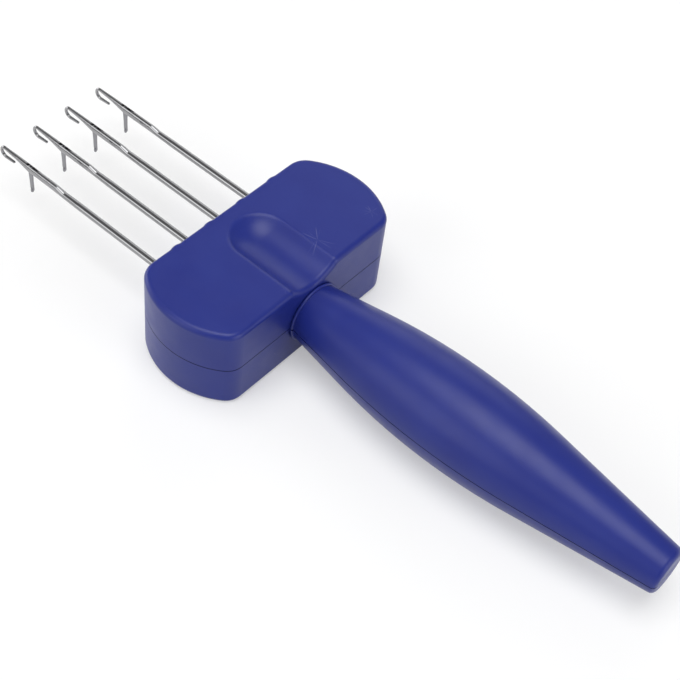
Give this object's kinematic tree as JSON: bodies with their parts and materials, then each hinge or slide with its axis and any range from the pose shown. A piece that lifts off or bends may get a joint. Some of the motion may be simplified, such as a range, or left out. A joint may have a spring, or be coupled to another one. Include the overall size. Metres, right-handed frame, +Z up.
{
  "type": "hand-held i-cord maker",
  "caption": "Hand tool for knitting cord: a row of steel latch needles in a two-shell plastic head with a thumb recess, on a spindle handle.",
  "frame": {"origin": "centre of the flat underside of the head, on which the tool lies", "axes": "+X along the handle axis from the head to the butt, needles pointing to -X; +Y along the row of needles; +Z up, away from the flat underside, towards the thumb recess"},
  "size_m": [0.2241, 0.0746, 0.028],
  "materials": {
    "blue_plastic": "moulded satin-gloss ABS, deep blue",
    "needle_steel": "nickel-plated polished steel",
    "grey_plastic": "moulded nylon, natural grey",
    "screw_steel": "zinc-plated steel"
  },
  "bodies": {
    "tool": {"head_upper_shell": "blue_plastic", "head_lower_shell": "blue_plastic", "handle_upper_half": "blue_plastic", "handle_lower_half": "blue_plastic", "needle_clamp_bar": "grey_plastic", "latch_needle_1": "needle_steel", "latch_rivet_1": "needle_steel", "latch_needle_2": "needle_steel", "latch_rivet_2": "needle_steel", "latch_needle_3": "needle_steel", "latch_rivet_3": "needle_steel", "latch_needle_4": "needle_steel", "latch_rivet_4": "needle_steel", "head_screws": "screw_steel", "handle_screws": "screw_steel", "clamp_screws": "screw_steel"},
    "latch_1_blade": {"latch_1": "needle_steel"},
    "latch_2_blade": {"latch_2": "needle_steel"},
    "latch_3_blade": {"latch_3": "needle_steel"},
    "latch_4_blade": {"latch_4": "needle_steel"}
  },
  "joints": [
    {"name": "latch_1_swing", "type": "hinge", "parent": "tool", "child": "latch_1_blade", "pos_m": [-0.0764, -0.01875, 0.0139], "axis": [0, 1, 0], "range_deg": [-75, 65]},
    {"name": "latch_2_swing", "type": "hinge", "parent": "tool", "child": "latch_2_blade", "pos_m": [-0.0764, -0.00625, 0.0139], "axis": [0, 1, 0], "range_deg": [-75, 65]},
    {"name": "latch_3_swing", "type": "hinge", "parent": "tool", "child": "latch_3_blade", "pos_m": [-0.0764, 0.00625, 0.0139], "axis": [0, 1, 0], "range_deg": [-75, 65]},
    {"name": "latch_4_swing", "type": "hinge", "parent": "tool", "child": "latch_4_blade", "pos_m": [-0.0764, 0.01875, 0.0139], "axis": [0, 1, 0], "range_deg": [-75, 65]}
  ]
}
